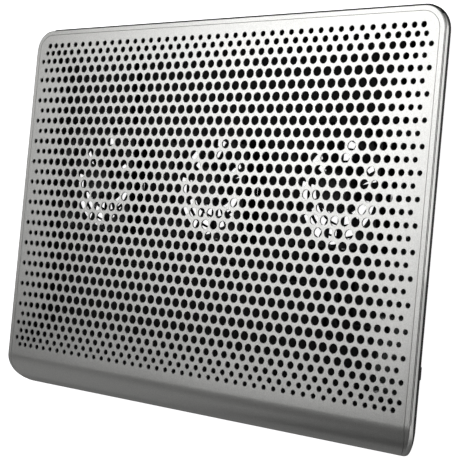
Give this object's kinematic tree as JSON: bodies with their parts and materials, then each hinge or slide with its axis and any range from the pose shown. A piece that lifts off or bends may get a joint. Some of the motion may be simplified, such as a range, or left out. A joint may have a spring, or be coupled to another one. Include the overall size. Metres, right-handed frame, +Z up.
{
  "type": "laptop cooling pad",
  "caption": "Flat laptop cooling pad: perforated silver deck with a rounded front lip over three small fans, fold-out legs below.",
  "frame": {"origin": "on the desk, under the middle of the pad", "axes": "+X to the user's right, +Y to the back edge, +Z up out of the deck"},
  "size_m": [0.3772, 0.2842, 0.025],
  "materials": {
    "satin_silver": "fine metallic paint, satin",
    "silver_plastic": "painted plastic, satin silver",
    "black_shell": "fine spark texture, matt",
    "fan_black": "smooth, semi-matt",
    "fan_blade": "smooth, semi-gloss",
    "magnet_grey": "dark ferrite",
    "steel": "ground",
    "bronze": "sintered bronze",
    "copper_coil": "enamelled copper",
    "board_green": "solder mask",
    "black_rubber": "matt",
    "screw_steel": "black zinc",
    "socket_metal": "tin plated",
    "connector_black": "nylon",
    "lead_black": "smooth sleeve",
    "knob_black": "semi-gloss, ribbed"
  },
  "bodies": {
    "base": {"top_frame": "silver_plastic", "perforated_plate": "satin_silver", "bottom_shell": "black_shell", "fan_screws": "screw_steel", "case_screws": "screw_steel", "board_screws": "steel", "control_board": "board_green", "usb_socket": "socket_metal", "slide_switch": "socket_metal", "board_headers": "connector_black", "lead_plugs": "connector_black", "fan_frame_left": "fan_black", "fan_board_left": "board_green", "fan_coil_left": "copper_coil", "fan_bearing_left": "bronze", "fan_lead_left": "lead_black", "fan_frame_centre": "fan_black", "fan_board_centre": "board_green", "fan_coil_centre": "copper_coil", "fan_bearing_centre": "bronze", "fan_lead_centre": "lead_black", "fan_frame_right": "fan_black", "fan_board_right": "board_green", "fan_coil_right": "copper_coil", "fan_bearing_right": "bronze", "fan_lead_right": "lead_black", "leg_pin_left": "steel", "leg_pin_right": "steel", "foot_front_left": "black_rubber", "foot_front_right": "black_rubber", "foot_back_left": "black_rubber", "foot_back_right": "black_rubber"},
    "rotor_left": {"fan_rotor_left": "fan_blade", "fan_magnet_left": "magnet_grey", "fan_shaft_left": "steel"},
    "rotor_centre": {"fan_rotor_centre": "fan_blade", "fan_magnet_centre": "magnet_grey", "fan_shaft_centre": "steel"},
    "rotor_right": {"fan_rotor_right": "fan_blade", "fan_magnet_right": "magnet_grey", "fan_shaft_right": "steel"},
    "leg_left": {"leg_left": "black_shell", "leg_tip_left": "black_rubber"},
    "leg_right": {"leg_right": "black_shell", "leg_tip_right": "black_rubber"},
    "knob": {"switch_knob": "knob_black"}
  },
  "joints": [
    {"name": "fan_spin_left", "type": "hinge", "parent": "base", "child": "rotor_left", "pos_m": [-0.1107, 0.0223, 0.012], "axis": [0, 0, 1], "continuous": true},
    {"name": "fan_spin_centre", "type": "hinge", "parent": "base", "child": "rotor_centre", "pos_m": [0, 0.0223, 0.012], "axis": [0, 0, 1], "continuous": true},
    {"name": "fan_spin_right", "type": "hinge", "parent": "base", "child": "rotor_right", "pos_m": [0.1107, 0.0223, 0.012], "axis": [0, 0, 1], "continuous": true},
    {"name": "leg_fold_left", "type": "hinge", "parent": "base", "child": "leg_left", "pos_m": [-0.12, 0.118, 0.0065], "axis": [1, 0, 0], "range_deg": [0, 105]},
    {"name": "leg_fold_right", "type": "hinge", "parent": "base", "child": "leg_right", "pos_m": [0.12, 0.118, 0.0065], "axis": [1, 0, 0], "range_deg": [0, 105]},
    {"name": "switch_slide", "type": "slide", "parent": "base", "child": "knob", "axis": [0, 1, 0], "range_m": [-0.002, 0.002]}
  ]
}
